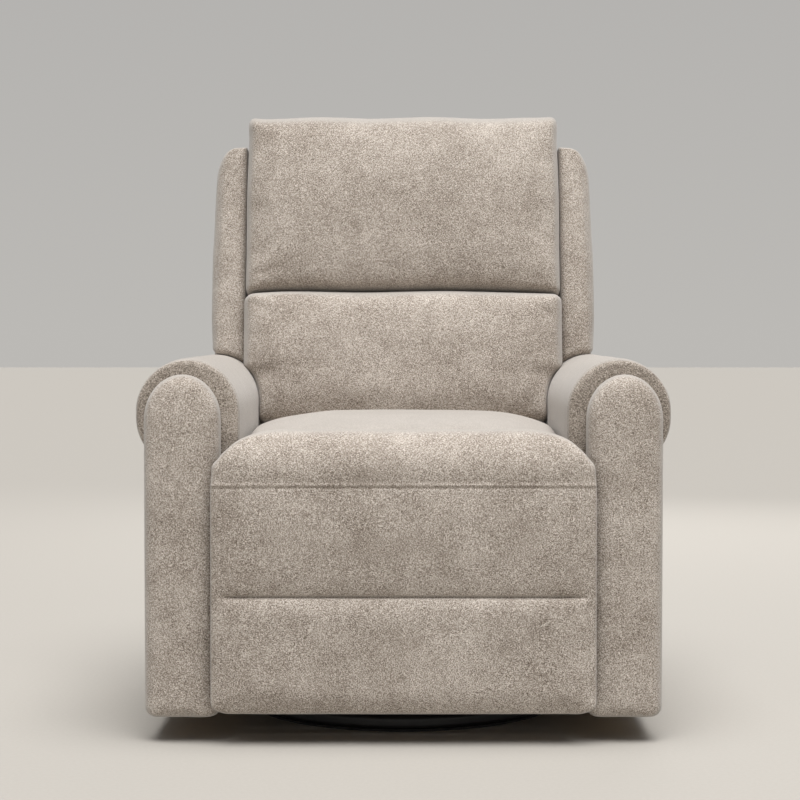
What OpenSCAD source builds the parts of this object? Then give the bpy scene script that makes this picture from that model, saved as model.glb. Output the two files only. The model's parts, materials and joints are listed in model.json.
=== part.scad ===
// Swivel glider armchair with a reclining back and a linkage-driven footrest.
// Origin: the swivel axis on the floor. +Z up, +X to the right as seen from the front, the chair faces -Y.

/* [Body] */
// Overall width across the rolled arms
arm_span = 853; // [840:1:870]
// Clear width between the two arms
seat_gap = 524; // [516:1:530]
// Height of the arm tops above the floor
arm_top = 604; // [590:1:620]
// Height of the upholstered body's lower edge above the floor
body_gap = 40; // [38:1:44]
// Front plane of the arms
arm_front = -305; // [-310:1:-300]
// Rear plane of the arms
arm_rear = 260; // [250:1:262]

/* [Base] */
// Outer radius of the floor ring
ring_r = 265; // [250:1:270]
// Radial width of the floor ring
ring_w = 32; // [26:1:36]
// Height of the floor ring's tube
ring_h = 22; // [20:1:24]
// Thickness of the pad under the floor ring
pad_t = 4; // [3:1:5]

/* [Glider] */
// Length of the swing links between their pivots
swing_len = 110; // [100:1:115]
// Distance from the swivel axis to each pair of swing links
swing_y = 110; // [105:1:115]
// Height of the fixed pivots that the swing links hang from
swing_top = 215; // [213:1:225]

/* [Footrest] */
// Width of the footrest pad
rest_w = 600; // [590:1:606]
// Turn of the footrest's main links between their two pivots, front to back and up
main_dy = 113; // [111:1:115]
main_dz = -237; // [-240:1:-234]

/* [Back] */
// Lean of the back from vertical, in degrees
lean = 11; // [10:0.5:12]
// Overall width of the back across its side wings
back_w = 705; // [690:1:715]
// Width of the two back cushions above the arms
cushion_w = 576; // [560:1:580]
// Height of the back's shoulders above the recline hinge, along the lean
shoulder_v = 620; // [600:1:630]

/* [Hidden] */
$fn = 64;

// Fits and sheet sizes
run_fit = 0.05;       // radial clearance of a turning pin in its hole
ply = 12;             // plywood board
plate = 4;            // mechanism plate
gap = 1;              // between a board and the upholstery next to it

// Arm section, in the XZ plane
in_x = seat_gap / 2;
out_x = arm_span / 2;
roll_r = (out_x - in_x) / 2;
roll_x = in_x + roll_r;
roll_z = arm_top - roll_r;
roll_drop = 10;                    // straight part of the roll's sides, below its round top
side_x = out_x - 22.5;             // outer face of the side under the roll
foam = 18;                         // padding thickness on the roll
side_foam = 14;                    // padding thickness on the outer side
pad_low = 405;                     // lower edge of the padding on the inner side
facing_t = 13;                     // padded facings at the arm's two ends
pad_front = arm_front + facing_t;
pad_rear = arm_rear;
post_w = 121;
post_x = 349.5;
post_top = 581;
post_front = -352;
post_t = 10;                       // board behind each front post
board_inset = 14;                  // and how far inside the post's outline it ends

// Base stack, bottom to top
spider_z = 10;
spider_t = 8;
hub_r = 82;
spoke_w = 40;
race_in = 50;
race_out = 78;
ball_r = 3;
ball_pitch = 64;
ball_z = 28;
race_gap = 1;
race_top = 38;
turn_t = 6;
turn_top = race_top + turn_t;
king_r = 8;

// Glider layers, distances from the middle plane
tower_x = 148;
swing_x = 156;
swing_t = 5;
rail_x = 163;
rail_t = 5;
swing_pin = 6;
swing_low = swing_top - swing_len;
tube_r = 11;
tube_y = 32;
tube_z = 285;

// Mechanism layers, distances from the middle plane
side_in = 224;
lay1 = 231;
lay2 = 236.5;
lay3 = 242;
bar_w = 24;
pin_r = 4;
drive_r = 10;

// Footrest linkage: the footrest turns about pole, a point in the air at the pad's top front edge.
// The main links turn about p1, and every other pivot follows from two parallelograms.
pole = [-375, 487];
p1 = [-130, 360];
swing0 = [main_dy, main_dz];
stay_off = [-71, 37];              // from each main pivot to the matching stay pivot
upper_off = [0, 90];               // from each lower-arm pivot to the matching upper-arm pivot
p2 = p1 + stay_off;
q1 = p1 + swing0;
q2 = q1 + stay_off;
s1 = q1 + upper_off;
r1 = pole + swing0;
r2 = r1 + upper_off;
board_y = -305;                    // front face of the footrest board
board_t = 15;
rest_front = -378;
rest_low = 50;
rest_high = 495;

// Seat
seat_z = 420;                      // top of the seat rails
spring_t = 4;
seat_low = 425.5;
seat_high = 515;
seat_front = -288;
seat_rear = 190;

// Back, in its own leaning frame: w is rearwards and v is up from the recline hinge
hinge = [250, 370];
post_in = 180;
post_out = 218.5;
frame_w0 = -18;
frame_w1 = 55;
frame_low = -60;
cush_w0 = -180;
cush_w1 = -22;
wing_w0 = -115;
wing_w1 = 60;
lumbar_v = [85, 330];
head_v = [334, 676];
arm_clear = 3;                     // clearance between the back's padding and the arms
low_half = 257;                    // half width of the back cushion between the arms
panel_half = 257;                  // and of the outer panel there

fabric = "#b5aa9d";
wood = "#c9a774";
steel = "#26262a";
zinc = "#9a9ca0";

// ---------- shapes ----------

// Rounded rectangle from corner a to corner b
module round_rect(a, b, r) {
    translate([a[0] + r, a[1]]) square([b[0] - a[0] - 2 * r, b[1] - a[1]]);
    translate([a[0], a[1] + r]) square([b[0] - a[0], b[1] - a[1] - 2 * r]);
    for (x = [a[0] + r, b[0] - r], y = [a[1] + r, b[1] - r]) translate([x, y]) circle(r);
}

// Flat bar outline with round ends, from a to b
module bar(a, b, w) {
    d = b - a;
    translate(a) rotate(atan2(d[1], d[0])) {
        circle(d = w);
        translate([0, -w / 2]) square([norm(d), w]);
        translate([norm(d), 0]) rotate(180) circle(d = w);
    }
}

module dot(p, r) {
    translate(p) circle(r);
}

// Extrudes a YZ outline along +X from x0
module along_x(x0, t) {
    translate([x0, 0, 0]) rotate([90, 0, 90]) linear_extrude(t) children();
}

// Extrudes an XZ outline along +Y from y0
module along_y(y0, t) {
    translate([0, y0 + t, 0]) rotate([90, 0, 0]) linear_extrude(t) children();
}

// Round bar along X through the YZ point p
module rod(p, x0, x1, r) {
    translate([x0, p[0], p[1]]) rotate([0, 90, 0]) cylinder(h = x1 - x0, r = r);
}

module mirrored() {
    mirror([1, 0, 0]) children();
}

module both() {
    children();
    mirrored() children();
}

// Places a shape drawn in the back's own frame (X, w, v)
module leaning() {
    translate([0, hinge[0], hinge[1]]) rotate([-lean, 0, 0]) children();
}

// ---------- swivel base ----------

module floor_pad() {
    color("#1d1d1f") rotate_extrude() translate([ring_r - ring_w + 3, 0]) square([ring_w - 6, pad_t]);
}

module base_ring() {
    color(steel) rotate_extrude()
        round_rect([ring_r - ring_w, pad_t], [ring_r, pad_t + ring_h], 7);
}

module base_spider() {
    color(steel) difference() {
        translate([0, 0, spider_z]) union() {
            cylinder(h = spider_t, r = hub_r);
            intersection() {
                for (a = [45, 135]) rotate(a)
                    translate([-ring_r, -spoke_w / 2, 0]) cube([2 * ring_r, spoke_w, spider_t]);
                cylinder(h = spider_t, r = ring_r - ring_w);
            }
        }
        translate([0, 0, spider_z - 1]) cylinder(h = spider_t + 2, r = king_r);
    }
}

// A race is a flat ring with a groove for the balls
module race(z0, z1) {
    color(zinc) rotate_extrude() difference() {
        translate([race_in, z0]) square([race_out - race_in, z1 - z0]);
        translate([ball_pitch, ball_z]) circle(ball_r + run_fit);
    }
}

module lower_race() {
    race(spider_z + spider_t, ball_z - race_gap / 2);
}

module upper_race() {
    race(ball_z + race_gap / 2, race_top);
}

module bearing_balls() {
    color(zinc) for (i = [0:23]) rotate(i * 15) translate([ball_pitch, 0, ball_z]) sphere(ball_r, $fn = 32);
}

module kingpin() {
    color(zinc) {
        translate([0, 0, spider_z]) cylinder(h = turn_top + 1 - spider_z, r = king_r);
        translate([0, 0, turn_top + 1]) cylinder(h = 9, r = 15, $fn = 6);
    }
}

// ---------- glider ----------

module tower_outline() {
    round_rect([-swing_y - 20, turn_top], [swing_y + 20, turn_top + 26], 4);
    for (y = [-swing_y, swing_y]) bar([y, turn_top + 20], [y, swing_top], 30);
}

module turn_plate() {
    color(steel) difference() {
        translate([-105, -130, race_top]) cube([210, 260, turn_t]);
        translate([0, 0, race_top - 1]) cylinder(h = turn_t + 2, r = king_r + run_fit);
    }
}

module glider_beams() {
    color(steel) for (y = [-swing_y, swing_y])
        translate([-tower_x, y - 16, turn_top]) cube([2 * tower_x, 32, 22]);
}

module glider_towers() {
    color(steel) both() along_x(tower_x, plate) difference() {
        tower_outline();
        for (y = [-swing_y, swing_y]) dot([y, swing_top], swing_pin);
    }
}

module glide_top_pins() {
    color(zinc) both() for (y = [-swing_y, swing_y]) {
        rod([y, swing_top], tower_x - 4, swing_x + swing_t + 4, swing_pin);
        rod([y, swing_top], tower_x - 4, tower_x, 9);
        rod([y, swing_top], swing_x + swing_t + 0.3, swing_x + swing_t + 4, 9);
    }
}

module swing_links(y) {
    color(zinc) both() along_x(swing_x, swing_t) difference() {
        bar([y, swing_top], [y, swing_low], 28);
        dot([y, swing_top], swing_pin + run_fit);
        dot([y, swing_low], swing_pin + run_fit);
    }
}

module glide_links_front() {
    swing_links(-swing_y);
}

module glide_links_rear() {
    swing_links(swing_y);
}

// ---------- carriage and mechanism plates ----------

module carriage_plates() {
    color(steel) both() along_x(rail_x, rail_t) difference() {
        union() {
            round_rect([-swing_y - 20, swing_low - 16], [swing_y + 20, swing_low + 16], 6);
            round_rect([-50, swing_low], [50, tube_z + 20], 6);
        }
        for (y = [-swing_y, swing_y]) dot([y, swing_low], swing_pin);
        for (y = [-tube_y, tube_y]) dot([y, tube_z], tube_r + run_fit);
    }
}

module glide_bottom_pins() {
    color(zinc) both() for (y = [-swing_y, swing_y]) {
        rod([y, swing_low], swing_x - 2.5, rail_x + rail_t + 4, swing_pin);
        rod([y, swing_low], swing_x - 2.5, swing_x - 0.3, 9);
        rod([y, swing_low], rail_x + rail_t, rail_x + rail_t + 4, 9);
    }
}

module cross_tubes() {
    color(steel) for (y = [-tube_y, tube_y]) difference() {
        rod([y, tube_z], -side_in - plate, side_in + plate, tube_r);
        rod([y, tube_z], -side_in - plate - 1, side_in + plate + 1, tube_r - 2);
    }
}

trip_pin = [22, 236];              // YZ point that the release's trip lever turns about

// Where the mechanism is bolted to the arms: YZ points
bolt_points = [[62, 298], [176, 290], [150, 367]];

module side_plate() {
    color(steel) along_x(side_in, plate) difference() {
        union() {
            polygon([
                [-214, 380], [-150, 335], [-75, 262], [195, 262],
                [270, 348], [270, 388], [205, 412], [-214, 412]
            ]);
            dot(p2, 18);
            dot(hinge, 24);
            bar(trip_pin, trip_pin + [0, 40], 30);
        }
        dot(p1, drive_r + run_fit);
        dot(p2, pin_r);
        dot(hinge, swing_pin);
        for (y = [-tube_y, tube_y]) dot([y, tube_z], tube_r + run_fit);
        for (p = bolt_points) dot(p, 4);
        dot(trip_pin, 4);
    }
}

module side_plates() {
    both() side_plate();
}

module link_pivot_pins() {
    color(zinc) both() {
        rod(p2, side_in - 2.5, lay1 + plate + 1, pin_r);
        rod(p2, side_in - 2.5, side_in, 7);
        rod(p2, side_in + plate, lay1 - 0.3, 7);
        rod(trip_pin, side_in - 2.5, side_in + plate + 5, 4);
        rod(trip_pin, side_in - 2.5, side_in, 7);
        rod(trip_pin, side_in + plate + 3.2, side_in + plate + 5, 7);
    }
}

module recline_bolts() {
    color(zinc) both() {
        rod(hinge, post_out + 0.2, side_in + plate + 6, swing_pin);
        rod(hinge, side_in + plate, side_in + plate + 6, 11);
    }
}

module arm_spacers() {
    color(steel) both() for (p = bolt_points) difference() {
        rod(p, side_in + plate, in_x, 9);
        rod(p, side_in, in_x + 1, 4);
    }
}

module arm_bolts() {
    color(zinc) both() for (p = bolt_points) {
        rod(p, side_in - 5, in_x + ply + 5, 4);
        rod(p, side_in - 5, side_in, 7.5);
        rod(p, in_x + ply, in_x + ply + 5, 9);
    }
}

module body_rails() {
    color(wood) {
        translate([-in_x, -275, body_gap + 4]) cube([seat_gap, 25, 38]);
        translate([-in_x, 215, body_gap + 4]) cube([seat_gap, 18, 218]);
    }
}

module rear_apron() {
    color(fabric) along_y(233.3, 11.7) round_rect([-in_x + 1, body_gap], [in_x - 1, 268], 5);
}

// ---------- seat ----------

rail_front = -275;
rail_rear = 198;

module seat_cross_rails() {
    color(wood) {
        translate([-side_in, rail_front, 375]) cube([2 * side_in, 30, seat_z - 375]);
        translate([-side_in, rail_rear - 28, 378]) cube([2 * side_in, 28, seat_z - 378]);
    }
}

module seat_side_rails() {
    color(wood) both() difference() {
        translate([side_in - 30, rail_front + 30, 378]) cube([30, rail_rear - rail_front - 58, seat_z - 378]);
        rod(p2, side_in - 4, side_in + 1, 8);
    }
}

// One sinuous spring: straight runs across, joined by half rings
spring_pitch = 24.4;
spring_turns = 18;
wire = 4;

module sinuous_outline() {
    half = 16;
    for (i = [0:spring_turns]) translate([-half, i * spring_pitch - wire / 2]) square([2 * half, wire]);
    for (i = [0:spring_turns - 1]) translate([(i % 2 == 0 ? half : -half), (i + 0.5) * spring_pitch])
        intersection() {
            difference() {
                circle(spring_pitch / 2 + wire / 2);
                circle(spring_pitch / 2 - wire / 2);
            }
            translate([(i % 2 == 0 ? 0 : -40), -30]) square([40, 60]);
        }
}

spring_xs = [-152, -76, 0, 76, 152];
spring_y0 = -233;

module seat_springs() {
    color(zinc) for (x = spring_xs) translate([x, spring_y0 - 22, seat_z]) linear_extrude(spring_t)
        sinuous_outline();
}

module spring_clips() {
    color("#3a3a3a") for (x = spring_xs, y = [spring_y0 - 22, spring_y0 - 22 + spring_turns * spring_pitch])
        translate([x, y, seat_z]) difference() {
            translate([-9, -7, 0]) cube([18, 14, spring_t + 1.2]);
            translate([-10, -wire / 2 - 0.1, -1]) cube([20, wire + 0.2, spring_t + 1.1]);
        }
}

// Crowned block: a box whose top is cut by a large cylinder along X
module crowned(a, b, crown_r) {
    mid = (a[1] + b[1]) / 2;
    intersection() {
        translate(a) cube(b - a);
        translate([a[0], mid, b[2] - crown_r]) rotate([0, 90, 0])
            cylinder(h = b[0] - a[0], r = crown_r, $fn = 128);
    }
}

module seat_cushion() {
    color(fabric) difference() {
        crowned([-258, seat_front, seat_low], [258, seat_rear, seat_high], 700);
        leaning() translate([-300, cush_w0 - 3, lumbar_v[0] - 3]) cube([600, 300, 300]);
    }
}

// ---------- arms (drawn for the right side) ----------

module arm_outline(inset, side_inset) {
    for (z = [roll_z, roll_z - roll_drop]) translate([roll_x, z]) circle(roll_r - inset, $fn = 96);
    translate([roll_x - roll_r + inset, roll_z - roll_drop]) square([2 * (roll_r - inset), roll_drop]);
    translate([in_x + inset, body_gap]) square([side_x - side_inset - in_x - inset, roll_z - body_gap]);
}

module arm_pad() {
    color(fabric) difference() {
        along_y(pad_front, pad_rear - pad_front) arm_outline(0, 0);
        along_y(pad_front - 1, pad_rear - facing_t - pad_front + 1) intersection() {
            arm_outline(foam, side_foam);
            translate([0, body_gap - 5]) square([500, 600]);
        }
        translate([in_x - 1, pad_front - 1, 0]) cube([foam + 2, pad_rear - facing_t - pad_front + 1, pad_low]);
        translate([in_x, pad_front, body_gap - 1])
            cube([side_x - side_foam - in_x, pad_rear - facing_t - pad_front, 3]);
    }
}

module arm_frame() {
    x1 = side_x - side_foam - gap;
    x0 = in_x + foam + gap;
    front = pad_front + 0.5;
    rear = pad_rear - facing_t - 0.5;
    color(wood) {
        difference() {
            translate([in_x, front, body_gap]) cube([ply, rear - front, pad_low - 5 - body_gap]);
            for (p = bolt_points) rod(p, in_x - 1, in_x + ply + 1, 4);
        }
        for (y = [front, rear - ply]) difference() {
            along_y(y, ply) union() {
                translate([roll_x, roll_z]) circle(roll_r - foam - gap);
                translate([x0, body_gap]) square([x1 - x0, roll_z - body_gap]);
                translate([in_x + ply, body_gap]) square([x1 - in_x - ply, pad_low - 5 - body_gap]);
            }
            post_holes();
        }
        translate([roll_x - 20, front + ply, arm_top - foam - 26]) cube([40, rear - front - 2 * ply, 18]);
        translate([in_x + ply, front + ply, body_gap]) cube([x1 - in_x - ply, rear - front - 2 * ply, 20]);
    }
}

module arm_facing() {
    color(fabric) difference() {
        along_y(arm_front, facing_t) arm_outline(0, 0);
        post_holes();
    }
}

module post_outline(inset) {
    r = post_w / 2 - inset;
    translate([post_x, post_top - inset - r]) circle(r);
    translate([post_x - r, body_gap + inset]) square([2 * r, post_top - inset - r - body_gap - inset]);
}

screw_zs = [120, 330, 520];

module post_holes() {
    for (z = screw_zs) translate([post_x, arm_front - post_t - 1, z]) rotate([-90, 0, 0])
        cylinder(h = 40, r = 2.6);
}

module post_board() {
    color(wood) difference() {
        along_y(arm_front - post_t, post_t) post_outline(board_inset);
        post_holes();
    }
}

module post_boards() {
    both() post_board();
}

module post_screws() {
    color(zinc) both() for (z = screw_zs) translate([post_x, 0, z]) {
        translate([0, arm_front - post_t + 1, 0]) rotate([-90, 0, 0])
            cylinder(h = facing_t + 0.5 + ply + post_t - 1, r = 2.5);
        translate([0, pad_front + 0.5 + ply, 0]) rotate([-90, 0, 0]) cylinder(h = 2.5, r = 5);
    }
}

module arm_post() {
    color(fabric) difference() {
        along_y(post_front, arm_front - 0.5 - post_front) post_outline(0);
        along_y(arm_front - post_t, post_t + 1) post_outline(board_inset - gap);
    }
}

module arm_frame_left() {
    mirrored() arm_frame();
}

module arm_frame_right() {
    arm_frame();
}

cup_at = [-60, 300];               // YZ centre of the release handle's cup
cup_size = [130, 62];

module cup_outline(grow) {
    reach = [(cup_size[0] - cup_size[1]) / 2, 0];
    bar(cup_at - reach, cup_at + reach, cup_size[1] + 2 * grow);
}

module arm_pad_left() {
    difference() {
        mirrored() arm_pad();
        along_x(-side_x - 1, side_foam + 2) cup_outline(0.3);
    }
}

module arm_pad_right() {
    arm_pad();
}

module arm_facings() {
    both() arm_facing();
}

module arm_post_left() {
    mirrored() arm_post();
}

module arm_post_right() {
    arm_post();
}

// ---------- release handle and trip lever (left side only) ----------

cup_depth = 26;
lever_pin = cup_at + [-42, 0];     // YZ point of the handle's pin
lever_x = -side_x + 8;             // distance of that pin from the middle plane
lever_pin_r = 3;

module handle_cup() {
    color("#202022") difference() {
        union() {
            along_x(-side_x - 3, cup_depth + 3) cup_outline(0);
            along_x(-side_x - 3, 3) cup_outline(9);
        }
        along_x(-side_x - 4, cup_depth + 1) cup_outline(-4);
        translate([-side_x + cup_depth - 6, lever_pin[0] + 3, lever_pin[1] - 5]) cube([8, 10, 10]);
    }
    color(zinc) translate([lever_x, lever_pin[0], lever_pin[1] - 27]) cylinder(h = 54, r = lever_pin_r);
}

module release_handle() {
    color("#2a2a2c") difference() {
        union() {
            translate([lever_x, lever_pin[0], lever_pin[1] - 18]) cylinder(h = 36, r = 6);
            translate([lever_x - 4, lever_pin[0], lever_pin[1] - 18]) cube([5, 82, 36]);
            translate([lever_x - 4, lever_pin[0] + 62, lever_pin[1] - 18]) cube([12, 20, 36]);
        }
        translate([lever_x, lever_pin[0], lever_pin[1] - 30]) cylinder(h = 60, r = lever_pin_r + run_fit);
    }
}

module trip_lever() {
    color(zinc) mirrored() along_x(side_in + plate + 0.3, 2.5) difference() {
        union() {
            bar(trip_pin, trip_pin + [-26, 22], 16);
            bar(trip_pin, trip_pin + [20, 8], 16);
        }
        dot(trip_pin, 4 + run_fit);
    }
}

// ---------- back, in its leaning frame ----------

module back_posts() {
    color(wood) leaning() both() translate([post_in, frame_w0, frame_low])
        cube([post_out - post_in, frame_w1 - frame_w0, shoulder_v - 25 - frame_low]);
}

module back_rails() {
    color(wood) leaning() for (v = [frame_low, 60, 330, shoulder_v - 60])
        translate([-post_in, 0, v]) cube([2 * post_in, 30, 35]);
}

module back_brackets() {
    color(zinc) both() difference() {
        leaning() along_x(post_out, plate) difference() {
            bar([10, -35], [10, 150], 44);
            dot([10, 90], 3);
            dot([10, 140], 3);
        }
        rod(hinge, post_out - 1, post_out + plate + 1, swing_pin + run_fit);
    }
}

module back_webbing() {
    color("#e8e4dc") leaning() for (v = [130, 215, 300, 400, 500])
        translate([-post_out + 6, frame_w0 - 2, v]) cube([2 * post_out - 12, 2, 45]);
}

wing_v0 = 250;                     // lower end of the wing boards
lining_t = 29;                     // depth of the wings' lining, from the cushions to the boards

module wing_boards() {
    color(wood) leaning() both() translate([post_out, 10, wing_v0 + 14])
        cube([back_w / 2 - 22 - post_out, ply, shoulder_v - 60 - wing_v0]);
}

module wing_outline() {
    r = 62;
    x0 = cushion_w / 2 + 3;
    x1 = back_w / 2;
    difference() {
        union() {
            translate([x0, 200]) square([x1 - x0, shoulder_v - r - 200]);
            translate([x0, 200]) square([x1 - r - x0 + 0.01, shoulder_v - 200]);
            translate([x1 - r, shoulder_v - r]) circle(r);
        }
        translate([x0 - 200, 0]) square([200, 900]);
    }
}

// The space the right arm takes up, and a little more, from the front back to depth y1
module arm_space(y1) {
    along_y(-500, 500 + y1) arm_outline(-arm_clear, -arm_clear);
}

// The wing and its lining, which covers the board behind the two cushions
module wing() {
    color(fabric) difference() {
        leaning() {
            along_y(wing_w0, wing_w1 - wing_w0) wing_outline();
            translate([post_out + gap, cush_w1 + 2, 200])
                cube([cushion_w / 2 + 4 - post_out - gap, lining_t, shoulder_v - 25 - 200]);
        }
        arm_space(arm_rear + arm_clear);
        leaning() translate([post_out - 1, 9, wing_v0])
            cube([back_w / 2 - 20 - post_out, ply + 2, shoulder_v - 45 - wing_v0]);
    }
}

module wing_left() {
    mirrored() wing();
}

module wing_right() {
    wing();
}

module lumbar_middle(grow) {
    leaning() along_y(cush_w0 - grow, cush_w1 - cush_w0 + 2 * grow)
        round_rect([-low_half, lumbar_v[0]], [low_half, lumbar_v[1]], 24);
}

module lumbar_cushion() {
    color(fabric) {
        lumbar_middle(0);
        difference() {
            leaning() along_y(cush_w0, cush_w1 - cush_w0) both()
                round_rect([low_half - 60, 130], [cushion_w / 2, lumbar_v[1]], 20);
            lumbar_middle(1);
            both() arm_space(400);
        }
    }
}

module head_cushion() {
    color(fabric) leaning() {
        along_y(cush_w0 + 8, cush_w1 - cush_w0 - 8)
            round_rect([-cushion_w / 2, head_v[0]], [cushion_w / 2, head_v[1]], 26);
    }
}

// The outer panel, and the padded cap that it carries forward over the tops of the posts
module back_panel() {
    cap_half = cushion_w / 2 + 2;
    cap_t = 21;
    color(fabric) leaning() {
        along_y(wing_w1 + 0.3, 12) {
            round_rect([-panel_half, frame_low], [panel_half, shoulder_v - 40], 8);
            round_rect([-back_w / 2 + 6, 244], [back_w / 2 - 6, shoulder_v - 2], 60);
        }
        translate([-cap_half, cush_w1 + 2, shoulder_v - 2 - cap_t])
            cube([2 * cap_half, wing_w1 + 1 - cush_w1 - 2, cap_t]);
    }
}

// ---------- footrest ----------

module footrest_board() {
    color(wood) difference() {
        translate([-235, board_y, 80]) cube([470, board_t, 370]);
        board_holes(2.6);
    }
}

bracket_zs = [236, 354];

module board_holes(r) {
    both() for (z = bracket_zs) translate([220, board_y + 3, z]) rotate([-90, 0, 0]) cylinder(h = 30, r = r);
}

module footrest_brackets() {
    back = board_y + board_t;
    color(zinc) both() difference() {
        union() {
            along_x(lay3, plate) round_rect([back, 226], [r1[0] + 13, 364], 5);
            translate([205, back, 226]) cube([lay3 + plate - 205, plate, 138]);
            for (p = [r1, r2]) {
                rod(p, lay2 - 2, lay3, pin_r);
                rod(p, lay2 - 2, lay2 - 0.3, 7);
            }
        }
        board_holes(2.6);
    }
}

module board_screws() {
    back = board_y + board_t + plate;
    color(zinc) both() for (z = bracket_zs) translate([220, 0, z]) {
        translate([0, board_y + 4, 0]) rotate([-90, 0, 0]) cylinder(h = back - board_y - 4, r = 2.5);
        translate([0, back, 0]) rotate([-90, 0, 0]) cylinder(h = 2.5, r = 5);
    }
}

roll_low = 453;                    // lower edge of the pad's top roll, which reaches back over the board

module footrest_pad() {
    waist = 284;
    color(fabric) difference() {
        intersection() {
            along_x(-rest_w / 2, rest_w) union() {
                round_rect([rest_front, rest_low], [board_y - 0.5, rest_high], 18);
                round_rect([rest_front, roll_low], [seat_front - 3, rest_high], 18);
            }
            along_y(rest_front, 100) round_rect([-rest_w / 2, rest_low], [rest_w / 2, rest_high], 45);
        }
        both() translate([waist, post_front - 3, 0]) cube([60, 100, 600]);
        both() translate([in_x - 5, board_y - 0.5, 0]) cube([60, 100, 600]);
    }
}

// ---------- footrest linkage ----------

module drive_tube() {
    color(steel) difference() {
        rod(p1, -lay1 - plate - 2, lay1 + plate + 2, drive_r);
        rod(p1, -lay1 - plate - 3, lay1 + plate + 3, drive_r - 2);
    }
}

module main_links() {
    color(zinc) both() {
        difference() {
            along_x(lay1, plate) difference() {
                union() {
                    bar(p1, q1, bar_w);
                    bar(p1, s1, bar_w);
                    bar(s1, q1, bar_w);
                    dot(p1, 20);
                }
                dot(p1, drive_r + run_fit);
            }
        }
        for (p = [q1, s1]) {
            rod(p, lay1 - 2, lay2 + plate + 2, pin_r);
            rod(p, lay1 - 2, lay1, 7);
            rod(p, lay2 + plate + 0.3, lay2 + plate + 2, 7);
        }
    }
}

module stay_links() {
    color(zinc) both() {
        along_x(lay1, plate) difference() {
            bar(p2, q2, 22);
            dot(p2, pin_r + run_fit);
        }
        rod(q2, lay1 - 2, lay2 + plate + 2, pin_r);
        rod(q2, lay1 - 2, lay1, 7);
        rod(q2, lay2 + plate + 0.3, lay2 + plate + 2, 7);
    }
}

module lower_arms() {
    color(zinc) both() along_x(lay2, plate) difference() {
        bar(q1, r1, 22);
        for (p = [q1, q2, r1]) dot(p, pin_r + run_fit);
    }
}

module upper_arms() {
    color(zinc) both() along_x(lay2, plate) difference() {
        bar(s1, r2, 22);
        for (p = [s1, r2]) dot(p, pin_r + run_fit);
    }
}

floor_pad();
base_ring();
base_spider();
lower_race();
bearing_balls();
kingpin();
upper_race();
turn_plate();
glider_beams();
glider_towers();
glide_top_pins();
glide_links_front();
glide_links_rear();
carriage_plates();
glide_bottom_pins();
cross_tubes();
side_plates();
link_pivot_pins();
recline_bolts();
arm_spacers();
arm_bolts();
body_rails();
rear_apron();
seat_cross_rails();
seat_side_rails();
seat_springs();
spring_clips();
seat_cushion();
arm_frame_left();
arm_frame_right();
arm_pad_left();
arm_pad_right();
arm_facings();
post_boards();
post_screws();
arm_post_left();
arm_post_right();
handle_cup();
release_handle();
trip_lever();
back_posts();
back_rails();
back_brackets();
back_webbing();
wing_boards();
lumbar_cushion();
head_cushion();
wing_left();
wing_right();
back_panel();
footrest_board();
footrest_brackets();
board_screws();
footrest_pad();
drive_tube();
main_links();
stay_links();
lower_arms();
upper_arms();
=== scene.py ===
import json
import math

import bmesh
import bpy
import numpy as np
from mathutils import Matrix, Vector, noise


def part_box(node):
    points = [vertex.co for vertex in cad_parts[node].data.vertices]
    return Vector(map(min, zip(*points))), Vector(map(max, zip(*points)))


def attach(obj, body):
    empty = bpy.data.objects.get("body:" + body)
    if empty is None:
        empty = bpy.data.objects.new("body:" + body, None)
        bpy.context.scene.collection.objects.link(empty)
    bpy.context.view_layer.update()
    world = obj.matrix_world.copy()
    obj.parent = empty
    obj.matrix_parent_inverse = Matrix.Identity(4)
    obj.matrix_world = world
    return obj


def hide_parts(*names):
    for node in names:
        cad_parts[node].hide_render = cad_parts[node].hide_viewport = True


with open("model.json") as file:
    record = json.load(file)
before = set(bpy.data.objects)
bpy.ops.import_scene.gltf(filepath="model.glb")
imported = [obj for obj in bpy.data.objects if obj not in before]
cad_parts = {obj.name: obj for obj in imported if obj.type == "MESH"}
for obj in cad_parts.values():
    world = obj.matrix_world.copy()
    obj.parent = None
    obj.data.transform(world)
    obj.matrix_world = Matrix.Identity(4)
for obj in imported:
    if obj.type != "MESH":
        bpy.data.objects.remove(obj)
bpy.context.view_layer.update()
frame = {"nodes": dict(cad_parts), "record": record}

MM = 0.001
scene = bpy.context.scene
padded = []                     # (piece, how far it may swell, its points that stay) for each stuffed piece


# ---------- the CAD model's places, in millimetres ----------

def cad(node):
    low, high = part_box(node)
    return np.array(low) / MM, np.array(high) / MM


hinge_y, hinge_z = 250, 370     # the line the back turns about
lean = math.radians(11)         # how far the back leans at rest

facing_low, facing_high = cad("arm_facings")
pad_low, pad_high = cad("arm_pad_right")
post_low, post_high = cad("arm_post_right")
seat_low, seat_high = cad("seat_cushion")
rest_low, rest_high = cad("footrest_pad")
apron_low, apron_high = cad("rear_apron")

in_x = pad_low[0]               # inner side of the arm
out_x = pad_high[0]             # outermost point of the roll
roll_r = (out_x - in_x) / 2
roll_x = in_x + roll_r
arm_top = pad_high[2]
roll_z = arm_top - roll_r
roll_drop = 10                  # straight part of the roll's sides, below its round top
side_x = out_x - 22.5           # outer side under the roll
low_z = pad_low[2]              # lower edge of the body's upholstery
inner_edge = 405                # lower edge of the arm's padding on its inner side
rear_facing = 13                # thickness of the padded face at the arm's rear end


def upright(points):
    """Points in the back's own frame (across, depth, height along the back) in the chair's frame."""
    x, w, v = points.T
    y = hinge_y + w * math.cos(lean) + v * math.sin(lean)
    z = hinge_z + v * math.cos(lean) - w * math.sin(lean)
    return np.stack([x, y, z], 1)


# ---------- shapes ----------

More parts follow.
